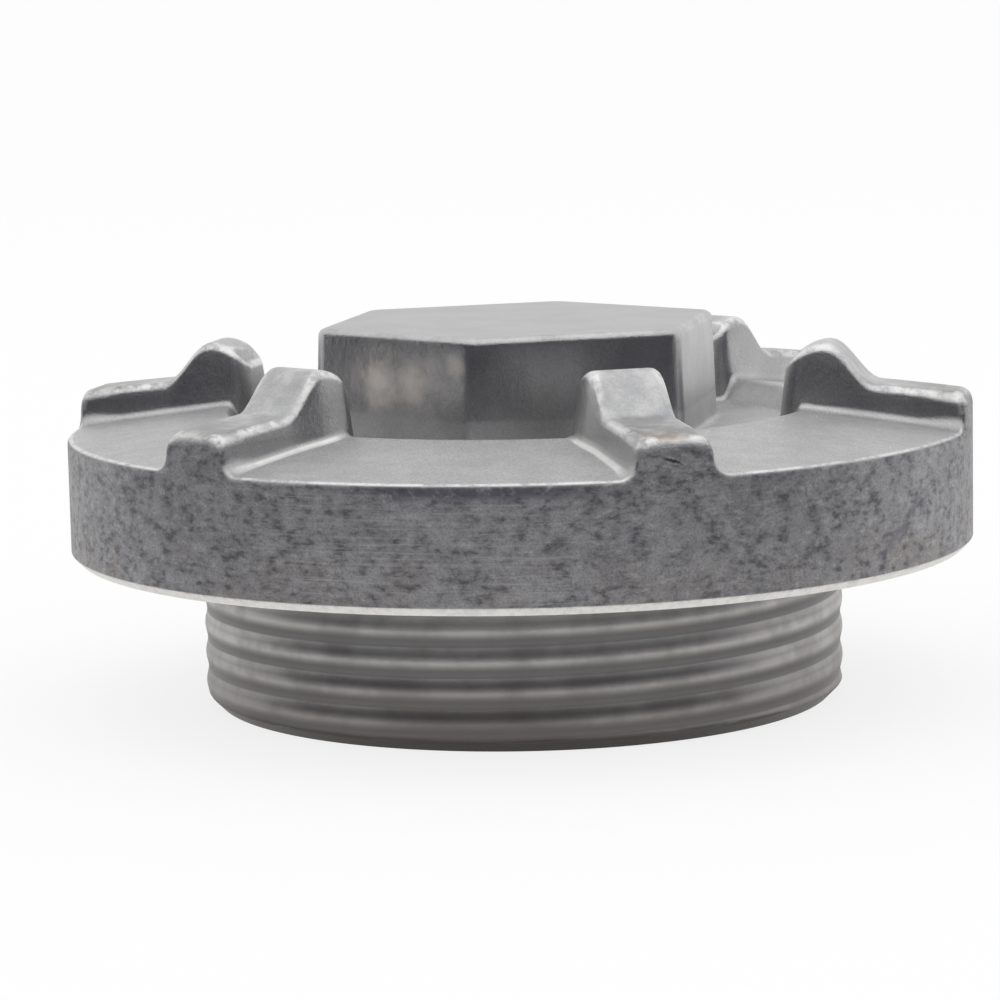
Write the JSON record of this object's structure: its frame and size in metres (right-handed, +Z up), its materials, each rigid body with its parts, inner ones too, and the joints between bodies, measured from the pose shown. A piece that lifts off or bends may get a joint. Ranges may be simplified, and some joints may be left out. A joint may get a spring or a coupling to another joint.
{
  "type": "oil drain plug",
  "caption": "Cast oil drain plug: a wide flange with wrench ribs round a hexagon on top, and a threaded skirt with a blind spring bore below.",
  "frame": {"origin": "centre of the skirt's bottom rim, the plane the plug stands on as pictured", "axes": "+Z up along the thread's axis, out through the hexagon; +X through the middle of one wrench rib"},
  "size_m": [0.0464, 0.0464, 0.0193],
  "materials": {
    "cast_aluminium": "as-cast top and ribs, turned rim and thread, lightly stained with use"
  },
  "bodies": {
    "root": {"drain_plug": "cast_aluminium"}
  },
  "joints": []
}
